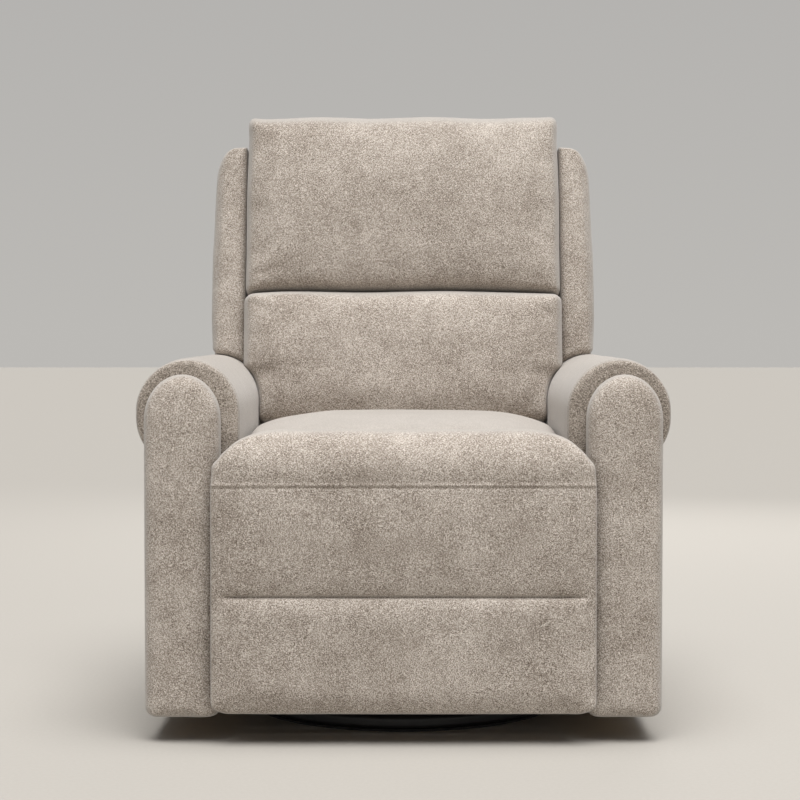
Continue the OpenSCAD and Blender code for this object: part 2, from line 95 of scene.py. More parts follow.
def smooth(value, start, end):
    """0 before start, 1 after end, and a soft step between them."""
    t = np.clip((value - start) / (end - start), 0, 1)
    return t * t * (3 - 2 * t)


def bump_at(value, centre, width):
    return np.exp(-(((value - centre) / width) ** 2))


def ripple(points, wavelength, seed=0.0):
    """Smooth noise from -1 to 1 at each point, whose lumps are about `wavelength` long."""
    shift = Vector((seed * 17.3, seed * 5.1, seed * 9.7))
    return np.array([noise.noise(Vector(p) / wavelength + shift) for p in points])


def cuts(low, high, spacing, fine=()):
    """Where to cut a side of a block from low to high, as places in [-1, 1].
    The cuts are about `spacing` apart, and closer at each place in `fine`."""
    count = max(2, round((high - low) / spacing) + 7 * len(fine))
    place = np.linspace(low, high, 2001)
    total = place - low
    if len(fine):
        density = 1 + sum(4 * bump_at(place, at, 8) for at in fine)
        total = np.concatenate([[0], np.cumsum((density[1:] + density[:-1]) / 2)])
    cut = np.interp(np.linspace(0, total[-1], count + 1), total, place)
    return (cut - low) / (high - low) * 2 - 1


def lattice(xs, ys, zs):
    """The skin of a block cut at xs, ys and zs: its points in [-1, 1] and its quads, facing out."""
    shell = np.zeros((len(xs), len(ys), len(zs)), bool)
    for axis in range(3):
        for end in (0, -1):
            where = [slice(None)] * 3
            where[axis] = end
            shell[tuple(where)] = True
    index = np.full(shell.shape, -1)
    index[shell] = np.arange(shell.sum())
    points = np.stack(np.meshgrid(xs, ys, zs, indexing="ij"), -1)[shell]
    quads = []
    for axis in range(3):
        for end in (0, -1):
            side = np.take(index, end, axis)
            face = np.stack([side[:-1, :-1], side[1:, :-1], side[1:, 1:], side[:-1, 1:]], -1)
            face = face.reshape(-1, 4)
            backwards = (end == 0) != (axis == 1)
            quads.append(face[:, ::-1] if backwards else face)
    return points, np.concatenate(quads)


def block(low, high, spacing):
    """The lattice of a block from low to high, cut about every `spacing` along each axis."""
    return lattice(*(cuts(low[axis], high[axis], spacing[axis]) for axis in range(3)))


def between(place, low, high):
    """A place in [-1, 1] as a measure from low to high."""
    return low + (place + 1) / 2 * (high - low)


def soft_box(q, low, high, round_low, round_high):
    """Block points q moved onto a box from low to high.
    Its edges are rounded by round_low and round_high along each axis."""
    p = between(q, low, high)
    core = np.clip(p, low + round_low, high - round_high)
    radius = np.where(p < core, round_low, round_high)
    out = (p - core) / np.maximum(radius, 1e-6)
    length = np.linalg.norm(out, axis=1, keepdims=True)
    return core + out / np.maximum(length, 1e-9) * radius * (length > 0)


def rows(count, *columns):
    """Three values or arrays as one array with a row for each of `count` points."""
    return np.stack([np.broadcast_to(np.asarray(c, float), (count,)) for c in columns], 1)


def dome(a, b, power=3):
    return (1 - np.abs(a) ** power) * (1 - np.abs(b) ** power)


# ---------- pieces ----------

def piece(name, points, faces, material, body, nodes=()):
    """A new mesh from points in millimetres.
    It rides on a body and stands for the CAD nodes it replaces."""
    mesh = bpy.data.meshes.new(name)
    mesh.from_pydata((np.asarray(points) * MM).tolist(), [], [tuple(int(i) for i in f) for f in faces])
    mesh.materials.append(material)
    work = bmesh.new()
    work.from_mesh(mesh)
    bmesh.ops.remove_doubles(work, verts=work.verts, dist=0.02 * MM)
    bmesh.ops.recalc_face_normals(work, faces=work.faces)
    work.to_mesh(mesh)
    work.free()
    mesh.polygons.foreach_set("use_smooth", [True] * len(mesh.polygons))
    made = bpy.data.objects.new(name, mesh)
    scene.collection.objects.link(made)
    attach(made, body)
    if nodes:
        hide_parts(*nodes)
    return made


def cushion(name, points, faces, body, nodes, swell=0.0, stay=None):
    """A padded piece in the chair's fabric.
    swell is how far stuffing it may move its skin, in millimetres, and stay marks the points it leaves."""
    made = piece(name, points, faces, chenille, body, nodes)
    if swell:
        padded.append((made, swell, stay))
    return made


def places(mesh):
    flat = np.zeros(len(mesh.vertices) * 3, np.float32)
    mesh.vertices.foreach_get("co", flat)
    return flat.reshape(-1, 3).astype(float)


def set_places(made, where):
    made.data.vertices.foreach_set("co", where.astype(np.float32).ravel())
    made.data.update()


def stuff_all():
    """Swells every padded piece as cloth under pressure, all at once, and keeps the resulting shapes.
    What this draws in across a piece or in its height is put back, so that its outline stays."""
    frames = 20
    starts = []
    for made, _, stay in padded:
        starts.append(places(made.data))
        made.modifiers.new("stuffing", "CLOTH")
        cloth = made.modifiers["stuffing"]
        cloth.settings.quality = 6
        cloth.settings.mass = 0.25
        cloth.settings.tension_stiffness = 18
        cloth.settings.compression_stiffness = 12
        cloth.settings.shear_stiffness = 6
        cloth.settings.bending_stiffness = 0.4
        cloth.settings.use_pressure = True
        cloth.settings.uniform_pressure_force = 4
        cloth.settings.effector_weights.gravity = 0
        cloth.collision_settings.use_collision = False
        cloth.point_cache.frame_end = frames
        if stay is not None:
            group = made.vertex_groups.new(name="stay")
            group.add([int(i) for i in np.nonzero(stay)[0]], 1.0, "REPLACE")
            cloth.settings.vertex_group_mass = "stay"
    for number in range(1, frames + 1):
        scene.frame_set(number)
    graph = bpy.context.evaluated_depsgraph_get()
    ends = [places(made.evaluated_get(graph).data) for made, _, _ in padded]
    for (made, swell, _), start, end in zip(padded, starts, ends):
        made.modifiers.remove(made.modifiers["stuffing"])
        move = end - start
        length = np.linalg.norm(move, axis=1, keepdims=True)
        most = swell * MM
        end = start + move * most * np.tanh(length / most) / np.maximum(length, 1e-9)
        for axis in (0, 2):
            low, high = start[:, axis].min(), start[:, axis].max()
            middle = (low + high) / 2
            pulled_in = np.abs(end[:, axis] - middle) < np.abs(start[:, axis] - middle)
            end[pulled_in, axis] = start[pulled_in, axis]
            end[:, axis] = np.clip(end[:, axis], low, high)
        set_places(made, end)
    scene.frame_set(1)


def subdivide(made):
    made.modifiers.new("smooth", "SUBSURF")
    made.modifiers["smooth"].levels = 1
    made.modifiers["smooth"].render_levels = 1


# ---------- materials ----------

class Nodes:
    """Builds one material's node tree."""

    def __init__(self, name):
        self.material = bpy.data.materials.new(name)
        self.material.use_nodes = True
        self.tree = self.material.node_tree
        self.shader = self.tree.nodes["Principled BSDF"]
        self.place = self.tree.nodes.new("ShaderNodeTexCoord").outputs["Object"]

    def link(self, out, into):
        self.tree.links.new(out, into)

    def set_scale(self, node, scale):
        """Gives a texture node its scale: one number, or one for each axis."""
        place = self.place
        if isinstance(scale, tuple):
            stretch = self.tree.nodes.new("ShaderNodeMapping")
            stretch.inputs["Scale"].default_value = scale
            self.link(place, stretch.inputs["Vector"])
            place = stretch.outputs["Vector"]
            scale = 1.0
        node.inputs["Scale"].default_value = scale
        self.link(place, node.inputs["Vector"])

    def noise(self, scale, detail=2.0, rough=0.5, distort=0.0):
        """Noise with `scale` lumps to a metre."""
        node = self.tree.nodes.new("ShaderNodeTexNoise")
        node.inputs["Detail"].default_value = detail
        node.inputs["Roughness"].default_value = rough
        node.inputs["Distortion"].default_value = distort
        self.set_scale(node, scale)
        return node.outputs["Fac"]

    def cells(self, scale):
        """Rounded cells, `scale` to a metre."""
        node = self.tree.nodes.new("ShaderNodeTexVoronoi")
        self.set_scale(node, scale)
        return node.outputs["Distance"]

    def math(self, operation, a, b=0.5):
        node = self.tree.nodes.new("ShaderNodeMath")
        node.operation = operation
        for socket, value in zip(node.inputs, (a, b)):
            if isinstance(value, (int, float)):
                socket.default_value = value
            else:
                self.link(value, socket)
        return node.outputs["Value"]

    def ramp(self, value, stops):
        node = self.tree.nodes.new("ShaderNodeValToRGB")
        elements = node.color_ramp.elements
        while len(elements) < len(stops):
            elements.new(0.5)
        for element, (position, colour) in zip(elements, stops):
            element.position = position
            element.color = (*colour, 1.0)
        self.link(value, node.inputs["Fac"])
        return node.outputs["Color"]

    def blend(self, amount, a, b):
        """Colour a, turning to colour b as the amount goes to 1."""
        node = self.tree.nodes.new("ShaderNodeMix")
        node.data_type = "RGBA"
        self.link(amount, node.inputs["Factor"])
        sockets = [socket for socket in node.inputs if socket.type == "RGBA"]
        self.link(a, sockets[0])
        sockets[1].default_value = (*b, 1.0)
        return next(socket for socket in node.outputs if socket.type == "RGBA")

    def grazing(self, start, end):
        """0 where the surface faces the viewer, 1 where it is seen along itself."""
        node = self.tree.nodes.new("ShaderNodeLayerWeight")
        node.inputs["Blend"].default_value = 0.5
        step = self.tree.nodes.new("ShaderNodeMapRange")
        step.interpolation_type = "SMOOTHSTEP"
        step.inputs["From Min"].default_value = start
        step.inputs["From Max"].default_value = end
        self.link(node.outputs["Facing"], step.inputs["Value"])
        return step.outputs["Result"]

    def bump(self, heights):
        """Bumps from (height, strength, depth in millimetres) rows, each on top of the one before."""
        last = None
        for height, strength, depth in heights:
            node = self.tree.nodes.new("ShaderNodeBump")
            node.inputs["Strength"].default_value = strength
            node.inputs["Distance"].default_value = depth * MM
            self.link(height, node.inputs["Height"])
            if last is not None:
                self.link(last, node.inputs["Normal"])
            last = node.outputs["Normal"]
        self.link(last, self.shader.inputs["Normal"])

    def finish(self, colour, roughness, **constants):
        self.link(colour, self.shader.inputs["Base Color"])
        if isinstance(roughness, (int, float)):
            self.shader.inputs["Roughness"].default_value = roughness
        else:
            self.link(roughness, self.shader.inputs["Roughness"])
        for name, value in constants.items():
            self.shader.inputs[name.replace("_", " ")].default_value = value
        return self.material


def grey(value):
    return (value, value, value)


def make_chenille(name, dark, middle, light, sheen_tint):
    """Brushed chenille: short tufts in crossing rows, with darker and lighter patches where the pile lies
    over. Where the surface is seen along itself, its colour is blended towards a paler, greyer tint: a
    painted sheen."""
    n = Nodes(name)
    across = n.noise((380, 380, 1100), 1, 0.5)
    along = n.noise((1100, 1100, 380), 1, 0.5)
    weave = n.math("MULTIPLY", n.math("ADD", across, along), 0.5)
    tufts = n.noise(800, 2, 0.7)
    speckle = n.math("ADD", n.math("MULTIPLY", weave, 0.8), n.math("MULTIPLY", tufts, 0.7))
    patches = n.noise(24, 3, 0.6, 0.3)
    drift = n.noise(7, 2, 0.5)
    lay = n.math("ADD", n.math("MULTIPLY", patches, 0.12), n.math("MULTIPLY", drift, 0.10))
    tone = n.math("ADD", n.math("SUBTRACT", speckle, 0.36), lay)
    colour = n.ramp(tone, [(0.36, dark), (0.50, middle), (0.64, light)])
    # painted sheen: the colour turns paler and greyer where the surface is seen at a grazing angle
    colour = n.blend(n.math("MULTIPLY", n.grazing(0.20, 0.78), 0.8), colour, sheen_tint)
    n.bump([(patches, 0.15, 1.0), (weave, 0.45, 0.9), (tufts, 0.4, 0.7)])
    rough = n.math("ADD", n.math("MULTIPLY", tufts, 0.2), 0.78)
    return n.finish(colour, rough, Sheen_Weight=0.25, Sheen_Roughness=0.5, Specular_IOR_Level=0.2)


def make_wood():
    n = Nodes("raw_wood")
    grain = n.noise((16, 260, 260), 4, 0.6, 0.6)
    pores = n.noise((60, 900, 900), 2, 0.6)
    blotch = n.noise(9, 2, 0.5)
    tone = n.math("ADD", n.math("MULTIPLY", grain, 0.6), n.math("MULTIPLY", blotch, 0.4))
    dark, middle, light = (0.40, 0.25, 0.12), (0.58, 0.41, 0.23), (0.70, 0.54, 0.34)
    colour = n.ramp(tone, [(0.32, dark), (0.5, middle), (0.68, light)])
    n.bump([(grain, 0.25, 0.3), (pores, 0.3, 0.15)])
    return n.finish(colour, n.math("ADD", n.math("MULTIPLY", grain, 0.25), 0.5), Specular_IOR_Level=0.35)


def make_black_steel():
    n = Nodes("powder_coat")
    peel = n.noise(900, 2, 0.5)
    dust = n.noise(40, 4, 0.7)
    clean, worn = (0.008, 0.008, 0.009), (0.014, 0.014, 0.015)
    colour = n.ramp(dust, [(0.35, clean), (0.6, worn), (0.8, grey(0.03))])
    n.bump([(peel, 0.35, 0.15)])
    return n.finish(colour, n.math("ADD", n.math("MULTIPLY", dust, 0.25), 0.28), Specular_IOR_Level=0.5)


def make_zinc():
    n = Nodes("zinc_plate")
    brushed = n.noise((1400, 90, 90), 3, 0.6)
    cloud = n.noise(30, 3, 0.6)
    colour = n.ramp(cloud, [(0.3, (0.42, 0.43, 0.45)), (0.7, grey(0.60))])
    n.bump([(brushed, 0.2, 0.08)])
    return n.finish(colour, n.math("ADD", n.math("MULTIPLY", brushed, 0.2), 0.25), Metallic=1.0)


def make_plastic():
    n = Nodes("black_plastic")
    grain = n.cells(1300)
    cloud = n.noise(50, 3, 0.6)
    colour = n.ramp(cloud, [(0.3, grey(0.018)), (0.7, grey(0.032))])
    n.bump([(grain, 0.4, 0.12)])
    return n.finish(colour, n.math("ADD", n.math("MULTIPLY", cloud, 0.15), 0.38), Specular_IOR_Level=0.45)


def make_rubber():
    n = Nodes("pad_rubber")
    grain = n.noise(700, 3, 0.6)
    cloud = n.noise(35, 3, 0.7)
    colour = n.ramp(cloud, [(0.3, grey(0.012)), (0.75, grey(0.035))])
    n.bump([(grain, 0.4, 0.2)])
    return n.finish(colour, n.math("ADD", n.math("MULTIPLY", grain, 0.1), 0.78), Specular_IOR_Level=0.3)


def make_webbing():
    n = Nodes("elastic_webbing")
    rows_across = n.noise((900, 300, 140), 2, 0.5)
    ribs = n.cells((420, 420, 900))
    colour = n.ramp(rows_across, [(0.35, (0.42, 0.38, 0.32)), (0.65, (0.66, 0.62, 0.55))])
    n.bump([(ribs, 0.6, 0.6)])
    return n.finish(colour, n.math("ADD", n.math("MULTIPLY", rows_across, 0.15), 0.75), Sheen_Weight=0.1)


# colour of the painted sheen that the chenille takes on where it is seen along itself
grazing_sheen_tint = (0.40, 0.372, 0.343)
chenille = make_chenille(
    "chenille", (0.120, 0.093, 0.071), (0.365, 0.314, 0.266), (0.740, 0.685, 0.628), grazing_sheen_tint
)
# a darker copy of the chenille for the arms' end faces: painted shade, standing in for the shade those
# upright faces sit in
painted_shade_band_chenille = make_chenille(
    "painted_shade_band_chenille", (0.090, 0.071, 0.055), (0.285, 0.243, 0.202), (0.62, 0.56, 0.50), grazing_sheen_tint
)
finishes = {
    "upholstery": chenille,
    "frame_wood": make_wood(),
    "black_steel": make_black_steel(),
    "plated_steel": make_zinc(),
    "black_plastic": make_plastic(),
    "pad_rubber": make_rubber(),
    "webbing": make_webbing(),
}
for part in frame["record"]["subparts"]:
    cad_node = frame["nodes"][part["node"]]
    cad_node.data.materials.clear()
    cad_node.data.materials.append(finishes[part["material_slot"]])


# ---------- back ----------

def split(x):
    """Height along the back of the line where its two cushions meet.
    It drops at its ends and waves a little."""
    return 333 - 5 * np.abs(x / 290) ** 6 + 1.2 * np.sin(x / 47)


def build_head_cushion():
    low = np.array([-290.5, -146.0, 333.0])
    high = np.array([290.5, -24.0, 667.0])
    drawn_in = 3                 # how far each side draws in above the middle
    crown = 23                   # how far the face stands out in the middle
    q, quads = block(low, high, (8, 8, 8))
    x, w, v = q.T
    front = (1 - w) / 2
    half = high[0] - drawn_in * smooth(v, 0, 1) * (1 - smooth(v, 0.75, 1))
    count = len(q)
    p = soft_box(
        q,
        rows(count, -half, low[1], split(x * half) + 0.6),
        rows(count, half, high[1], high[2]),
        rows(count, 6 + 10 * front, 40, 3 + 5 * front),
        rows(count, 6 + 10 * front, 24, 8 + 20 * front),
    )
    face = smooth(-w, -0.2, 1)
    p[:, 1] -= crown * (1 - np.abs(x) ** 4) * (1 - np.abs(v) ** 2.4) * face
    corner = bump_at(np.abs(x), 1, 0.07)
    p[:, 2] += (3.5 * corner + 1.5 * (1 - x**2) + 1.5 * np.sin(9 * x)) * smooth(v, 0.7, 1)
    p[:, 1] -= (2.2 * ripple(p, 130, 1) + 0.9 * ripple(p, 48, 2)) * face
    bottom = q[:, 2] < -0.94
    return cushion(
        "head_cushion_cover", upright(p), quads, "back", ["head_cushion"], swell=9, stay=bottom
    )


def beside_arm(z, clear):
    """How far out padding may reach at each height before it meets the arm, with some clearance."""
    r = roll_r + clear
    rise = np.clip(z - roll_z, 0, r)
    return roll_x - np.sqrt(r**2 - rise**2)


def build_lumbar_cushion():
    low = np.array([-290.5, -160.0, 88.0])
    high = np.array([290.5, -24.0, 330.0])
    q, quads = block(low, high, (8, 8, 7))
    x, w, v = q.T
    front = (1 - w) / 2
    flat = between(q, low, high)
    height = upright(flat)[:, 2]
    before_wing = 1 - smooth(flat[:, 1], -132, -113)
    half = np.minimum(high[0] + 2 * before_wing, beside_arm(height, 1.0))
    by_arms = 1 - smooth(height, roll_z, arm_top)     # 1 down between the arms, 0 above them
    side_round = 8 - 5 * by_arms + (10 - 8 * by_arms) * front
    count = len(q)
    p = soft_box(
        q,
        rows(count, -half, low[1] - 12 * by_arms, low[2]),
        rows(count, half, high[1], split(x * half) - 0.6),
        rows(count, side_round, 42 - 24 * by_arms, 12 - 4 * by_arms + 10 * front),
        rows(count, side_round, 24, 6 + 8 * front),
    )
    face = smooth(-w, -0.2, 1)
    crown = 20 - 10 * by_arms
    p[:, 1] -= crown * (1 - np.abs(x) ** 5) * (1 - np.abs(v) ** 2.4) * face
    p[:, 1] -= (2.4 * ripple(p, 120, 4) + 0.9 * ripple(p, 46, 5)) * face
    top = q[:, 2] > 0.93
    return cushion(
        "lumbar_cushion_cover", upright(p), quads, "back", ["lumbar_cushion"], swell=8, stay=top
    )


def fit_between_arms(made):
    """Presses the cushion's lower part against the arms."""
    p = places(made.data) / MM
    lower = p[:, 2] < arm_top
    limit = beside_arm(p[:, 2], 0.4)
    p[lower, 0] = np.clip(p[lower, 0], -limit[lower], limit[lower])
    set_places(made, p * MM)


def build_wing(side, node):
    low = np.array([291.0, -110.0, 0.0])
    high = np.array([353.5, 58.0, 617.5])
    foot = 204                   # lower end of the wing, behind the arm
    arm_back = -28               # depth from which the wing clears the arm's rear and reaches its foot
    shoulder_across, shoulder_up = 36.0, 50.0     # the round at the wing's top
    taper = 9                    # how far the outer side draws in towards the top
    taper_start, taper_end = 330, 575
    q, quads = lattice(
        cuts(low[0], high[0], 7),
        cuts(low[1], high[1], 7, (arm_back,)),
        cuts(foot, high[2], 8, (high[2] - 8,)),
    )
    x, w, v = q.T
    front = (1 - w) / 2
    across = between(x, low[0], high[0])
    depth = between(w, low[1], high[1])
    level = between(v, foot, high[2])
    turn = np.clip((level - high[2]) / shoulder_up + 1, 0, 1)
    outer = high[0] - shoulder_across * (1 - np.sqrt(1 - turn**2))
    outer -= taper * np.clip((level - taper_start) / (taper_end - taper_start), 0, 1)
    arm = roll_z + np.sqrt((roll_r + 3) ** 2 - (across - roll_x) ** 2)
    above_arm = (arm - hinge_z + depth * math.sin(lean)) / math.cos(lean)
    bottom = above_arm + (foot - above_arm) * smooth(depth, arm_back - 3, arm_back + 3)
    count = len(q)
    p = soft_box(
        q,
        rows(count, low[0], low[1], bottom),
        rows(count, outer, high[1], high[2]),
        rows(count, 2, 26, 3),
        rows(count, 22 - 12 * turn, 16, 9),
    )
    p[:, 0] += 2 * dome(v, w) * smooth(x, 0, 1)
    p[:, 1] -= 4 * dome(x, v) * smooth(-w, 0, 1)
    p[:, 0] += 1.0 * ripple(p, 70, 7) * smooth(x, 0, 1)
    p[:, 1] += 1.4 * ripple(p, 80, 8) * front
    p[:, 0] *= side
    inner = (q[:, 0] < -0.9) | (q[:, 2] < -0.85)
    return cushion(node + "_cover", upright(p), quads, "back", [node], swell=4, stay=inner)


def build_wing_lining(side, name):
    """The fabric over the wing's board, behind the two cushions."""
    low = np.array([220.5, -20.0, 202.0])
    high = np.array([291.0, 8.0, 594.0])
    q, quads = block(low, high, (14, 9, 14))
    count = len(q)
    p = soft_box(q, rows(count, *low), rows(count, *high), rows(count, 4, 4, 4), rows(count, 1, 4, 4))
    p[:, 0] *= side
    return cushion(name, upright(p), quads, "back", [])


def build_back_panel():
    low = np.array([-347.0, 61.0, -58.0])
    high = np.array([347.0, 72.5, 616.0])
    q, quads = block(low, high, (11, 6, 11))
    x, w, v = q.T
    level = between(v, low[2], high[2])
    half = 256 + 90 * smooth(level, 243, 262)     # narrow between the arms, wide above them
    top = smooth(level, 500, 600)
    count = len(q)
    p = soft_box(
        q,
        rows(count, -half, low[1], low[2]),
        rows(count, half, high[1], high[2]),
        rows(count, 9 + 48 * top, 2, 9),
        rows(count, 9 + 48 * top, 8, 9 + 48 * top),
    )
    p[:, 1] += (5 * dome(x, v, 6) + 1.2 * ripple(p, 90, 9)) * smooth(w, 0, 1)
    return cushion("back_panel_cover", upright(p), quads, "back", ["back_panel"])


def build_back_cap():
    """The padded strip over the tops of the back's posts, from the head cushion to the outer panel."""
    low = np.array([-289.5, -20.0, 598.0])
    high = np.array([289.5, 61.0, 617.0])
    q, quads = block(low, high, (12, 9, 6))
    x, w, v = q.T
    count = len(q)
    p = soft_box(q, rows(count, *low), rows(count, *high), rows(count, 3, 6, 4), rows(count, 3, 9, 8))
    p[:, 2] += (3 * dome(x, w, 4) + 1.0 * ripple(p, 70, 28)) * smooth(v, 0, 1)
    return cushion("back_cap_cover", upright(p), quads, "back", [])


def build_back_flap():
    """The fabric over the back frame below the lumbar cushion.
    It shows behind the seat when the back reclines."""
    low = np.array([-216.0, -24.0, -10.0])
    high = np.array([216.0, -19.0, 94.0])
    q, quads = block(low, high, (12, 3, 12))
    count = len(q)
    p = soft_box(q, rows(count, *low), rows(count, *high), rows(count, 3, 2, 3), rows(count, 3, 2, 3))
    p[:, 1] += 0.8 * ripple(p, 60, 31) * smooth(-q[:, 1], 0, 1)
    return cushion("back_flap", upright(p), quads, "back", [])


def build_back_side(side, name):
    """The fabric over the back frame's side, between the wing and the hinge.
    It keeps clear of the side plate."""
    low = np.array([223.5, -20.0, 12.0])
    high = np.array([227.0, 60.0, 201.0])
    plate_top = 58               # height that clears the side plate, in front of its rear end
    q, quads = block(low, high, (2, 7, 9))
    depth = between(q[:, 1], low[1], high[1])
    bottom = plate_top - (plate_top - low[2]) * smooth(depth, 24, 36)
    count = len(q)
    p = soft_box(
        q,
        rows(count, low[0], low[1], bottom),
        rows(count, *high),
        rows(count, 1, 3, 3),
        rows(count, 2, 3, 3),
    )
    p[:, 0] *= side
    return cushion(name, upright(p), quads, "back", [])


# ---------- seat ----------

def build_seat_cushion():
    low = np.array([-261.0, seat_low[1] + 1, seat_low[2] + 1])
    high = np.array([261.0, seat_high[1] - 4, seat_high[2] - 4.5])
    middle = -49                 # place of the crown's highest point, front to rear
    fall_along = 38              # how much lower the crown's front end is
    fall_across = 27             # how much lower its sides are
    q, quads = block(low, high, (9, 9, 9))
    x, y, z = q.T
    deep = between(y, low[1], high[1])
    crown = high[2] - fall_along * ((deep - middle) / 239) ** 2 - fall_across * np.abs(x) ** 3
    under = 480 - 0.194 * (deep - 86)     # the lumbar cushion's underside
    top = crown + (np.minimum(crown, under) - crown) * smooth(deep, 62, 88)
    count = len(q)
    p = soft_box(
        q,
        rows(count, low[0], low[1], low[2]),
        rows(count, high[0], high[1], top),
        rows(count, 14, 14, 12),
        rows(count, 14, 12, 20),
    )
    p[:, 2] += (2.0 * ripple(p, 120, 10) + 0.7 * ripple(p, 45, 11)) * smooth(z, 0, 1)
    return cushion("seat_cushion_cover", p, quads, "seat", ["seat_cushion"], swell=5)


def build_rear_apron():
    low, high = apron_low, apron_high
    q, quads = block(low, high, (11, 5, 11))
    x, y, z = q.T
    count = len(q)
    p = soft_box(q, rows(count, *low), rows(count, *high), rows(count, 2, 2, 6), rows(count, 2, 6, 6))
    p[:, 1] += (2.5 * dome(x, z, 6) + 1.0 * ripple(p, 90, 12)) * smooth(y, 0, 1)
    return cushion("rear_apron_cover", p, quads, "seat", ["rear_apron"])


# ---------- footrest ----------

seam_z = 407                    # stitched seam under the pad's top roll
tuck_z = 234                    # sewn channel across the pad's face


def build_footrest_pad():
    low = np.array([-300.0, rest_low[1] + 5, rest_low[2] - 1])
    high = np.array([300.0, rest_high[1], rest_high[2] - 1])
    seams = (seam_z, tuck_z)
    q, quads = lattice(
        cuts(low[0], high[0], 8),
        cuts(low[1], high[1], 7),
        cuts(low[2], high[2], 8, seams),
    )
    low_corner = 16              # radius of the pad's lower corners
    shoulder_across, shoulder_up = 110.0, 68.0     # the round at its top corners
    x, y, z = q.T
    count = len(q)
    deep = between(y, low[1], high[1])
    level = between(z, low[2], high[2])
    behind = smooth(deep, -359, -353)     # 1 behind the padded face, where the board is
    rear = -306.5 + 14.5 * smooth(level, 450, 458)
    reach = np.clip(low_corner - (level - low[2]), 0, low_corner)
    cut_in = low_corner - np.sqrt(low_corner**2 - reach**2)
    half = 303 - 19 * behind - 27 * smooth(deep, -309, -304) - cut_in
    top = smooth(level, 380, 470)
    near_side = smooth(np.abs(x), 0.70, 0.94)
    p = soft_box(
        q,
        rows(count, -half, low[1], low[2]),
        rows(count, half, rear, high[2]),
        rows(count, 14 + 6 * top, 10 + (38 - 24 * near_side) * top, 7),
        rows(count, 14 + 6 * top, 8 + 14 * top, 72 - 34 * near_side),
    )
    past = np.clip((np.abs(p[:, 0]) - high[0]) / shoulder_across + 1, 0, 0.93)
    above_seam = np.clip((p[:, 2] - seam_z) / (high[2] - seam_z), 0, 1)
    p[:, 2] -= shoulder_up * (1 - np.sqrt(1 - past**2)) * above_seam
    face = smooth(-y, 0.0, 1)
    upper = np.clip((level - tuck_z) / (seam_z - tuck_z), 0, 1) * 2 - 1
    lower = np.clip((level - low[2]) / (tuck_z - low[2]), 0, 1) * 2 - 1
    p[:, 1] -= (4.0 * (1 - upper**6) + 3.5 * (1 - lower**6)) * (1 - x**6) * face
    p[:, 1] -= 2 * bump_at(level, 435, 25) * (1 - x**6) * face
    p[:, 1] += (1.6 * ripple(p, 110, 13) + 0.7 * ripple(p, 42, 14)) * face
    p[:, 2] += 1.4 * ripple(p, 90, 15) * smooth(z, 0.6, 1)
    sewn = (np.abs(level - seam_z) < 6) | (np.abs(level - tuck_z) < 7) | (deep > -352)
    return cushion(
        "footrest_pad_cover", p, quads, "footrest", ["footrest_pad"], swell=5, stay=sewn
    )


def sew_footrest(pad):
    """Presses the seam and the sewn channel into the stuffed pad's face."""
    p = places(pad.data) / MM
    x, y, z = p.T
    face = 1 - smooth(y, -362, -352)
    reach = 1 - smooth(np.abs(x), 272, 286)
    p[:, 1] += 6 * bump_at(z, tuck_z, 2.2) * reach * face
    p[:, 1] += 1.5 * bump_at(z, tuck_z + 5, 6) * reach * face
    p[:, 1] += 1.4 * bump_at(z, seam_z - 2, 1.5) * face
    p[:, 1] -= 1.5 * bump_at(z, seam_z + 2.5, 2.5) * face
    set_places(pad, p * MM)


# ---------- arms ----------

def arc(centre, radius, start, end, step):
    """Points on an arc in the XZ plane, from one angle in degrees to another."""
    count = max(2, int(abs(math.radians(end - start)) * max(radius) / step))
    turn = np.radians(np.linspace(start, end, count + 1))
    return np.stack([centre[0] + radius[0] * np.cos(turn), centre[1] + radius[1] * np.sin(turn)], 1)


def walk(points, step):
    """A line through the given points, cut about every `step`, without repeating its corners."""
    line = []
    for a, b in zip(points[:-1], points[1:]):
        a, b = np.array(a, float), np.array(b, float)
        count = max(1, round(np.linalg.norm(b - a) / step))
        line += [a + (b - a) * i / count for i in range(count)]
    return np.array(line + [np.array(points[-1], float)])


crease = math.degrees(math.asin((side_x - roll_x) / roll_r)) - 90    # where the roll meets the side
crease_z = roll_z - roll_drop + roll_r * math.sin(math.radians(crease))


def over_roll(step):
    """The line over the roll, from its inner side to where it meets the arm's outer side."""
    round_top = arc((roll_x, roll_z), (roll_r, roll_r), 180, 0, step)
    turned_under = arc((roll_x, roll_z - roll_drop), (roll_r, roll_r), 0, crease, step)
    return np.concatenate([round_top, turned_under])


def arm_profile():
    """The arm's outer line in the XZ plane, from its inner side over the roll and down its outer side."""
    over = over_roll(7)
    up = walk([(in_x, inner_edge), tuple(over[0])], 9)
    under = [(side_x + 1.5, crease_z - 9), (side_x, crease_z - 19), (side_x, low_z)]
    down = walk([tuple(over[-1])] + under, 9)
    return np.concatenate([up[:-1], over[:-1], down])


def tube_faces(rings, size):
    """The quads between each ring and the next, for rings of `size` points."""
    faces = []
    for i in range(rings - 1):
        for j in range(size):
            k = (j + 1) % size
            faces.append((i * size + j, i * size + k, (i + 1) * size + k, (i + 1) * size + j))
    return faces


